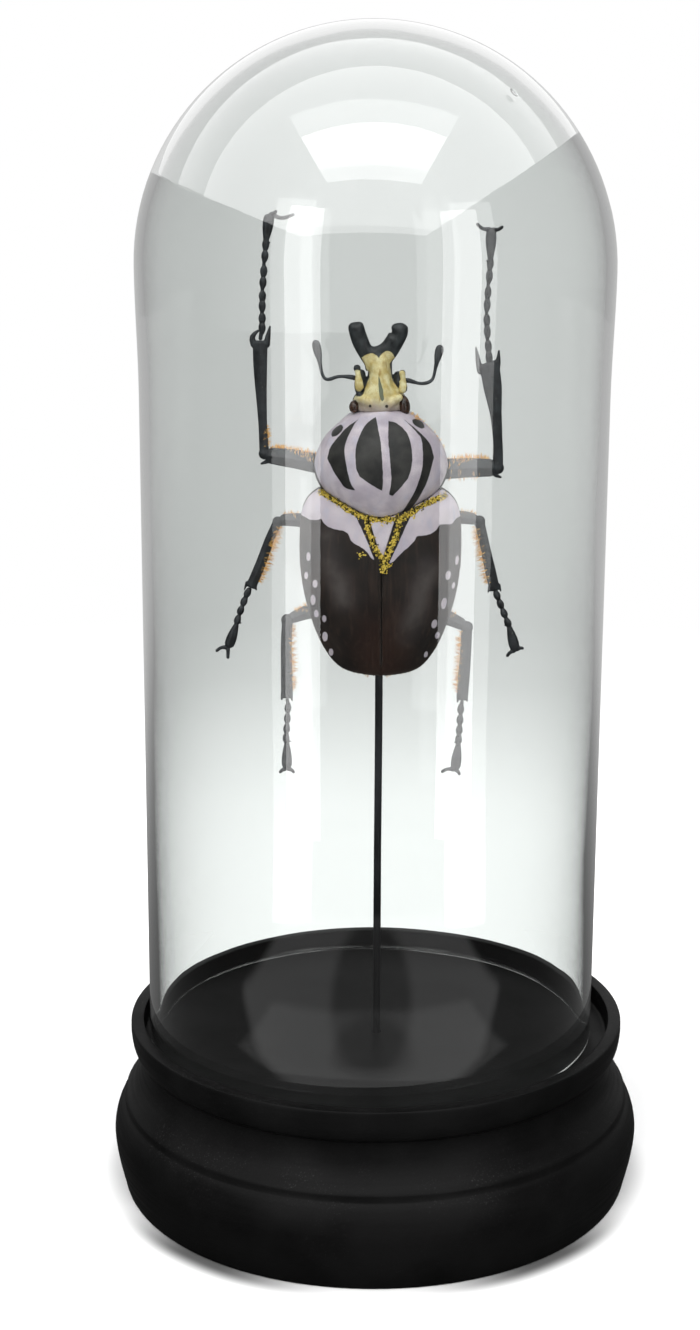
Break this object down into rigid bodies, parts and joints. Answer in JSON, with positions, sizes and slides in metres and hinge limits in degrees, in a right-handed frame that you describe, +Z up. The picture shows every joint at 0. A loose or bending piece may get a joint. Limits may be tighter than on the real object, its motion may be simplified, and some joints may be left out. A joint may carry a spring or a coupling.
{
  "type": "beetle in glass dome",
  "caption": "Dried horned flower beetle standing head up on a thin rod, under a round-topped glass dome on a turned black wooden base.",
  "frame": {"origin": "middle of the base's underside", "axes": "+Z up through the base and the dome's top; the beetle's back faces -Y and its left side is at -X"},
  "size_m": [0.1428, 0.1428, 0.3038],
  "materials": {
    "black_wood": "turned wood, stained black, satin lacquer",
    "clear_glass": "clear blown glass, polished",
    "black_rod": "thin metal rod, black satin",
    "cream_shell": "dry insect shell, cream yellow with black horn",
    "pale_shell": "dry insect shell, lilac white with black marks",
    "brown_shell": "dry insect shell, velvety dark brown",
    "blue_black_shell": "dry insect shell, blue black, satin"
  },
  "bodies": {
    "root": {"base": "black_wood", "glass_dome": "clear_glass", "mount_rod": "black_rod", "head": "cream_shell", "prothorax": "pale_shell", "scutellum": "pale_shell", "elytron_left": "brown_shell", "elytron_right": "brown_shell", "hind_thorax": "blue_black_shell", "abdomen": "blue_black_shell", "antenna_left": "blue_black_shell", "antenna_right": "blue_black_shell", "femur_front_left": "blue_black_shell", "tibia_front_left": "blue_black_shell", "tarsus_front_left": "blue_black_shell", "femur_front_right": "blue_black_shell", "tibia_front_right": "blue_black_shell", "tarsus_front_right": "blue_black_shell", "femur_middle_left": "blue_black_shell", "tibia_middle_left": "blue_black_shell", "tarsus_middle_left": "blue_black_shell", "femur_middle_right": "blue_black_shell", "tibia_middle_right": "blue_black_shell", "tarsus_middle_right": "blue_black_shell", "femur_hind_left": "blue_black_shell", "tibia_hind_left": "blue_black_shell", "tarsus_hind_left": "blue_black_shell", "femur_hind_right": "blue_black_shell", "tibia_hind_right": "blue_black_shell", "tarsus_hind_right": "blue_black_shell"}
  },
  "joints": []
}
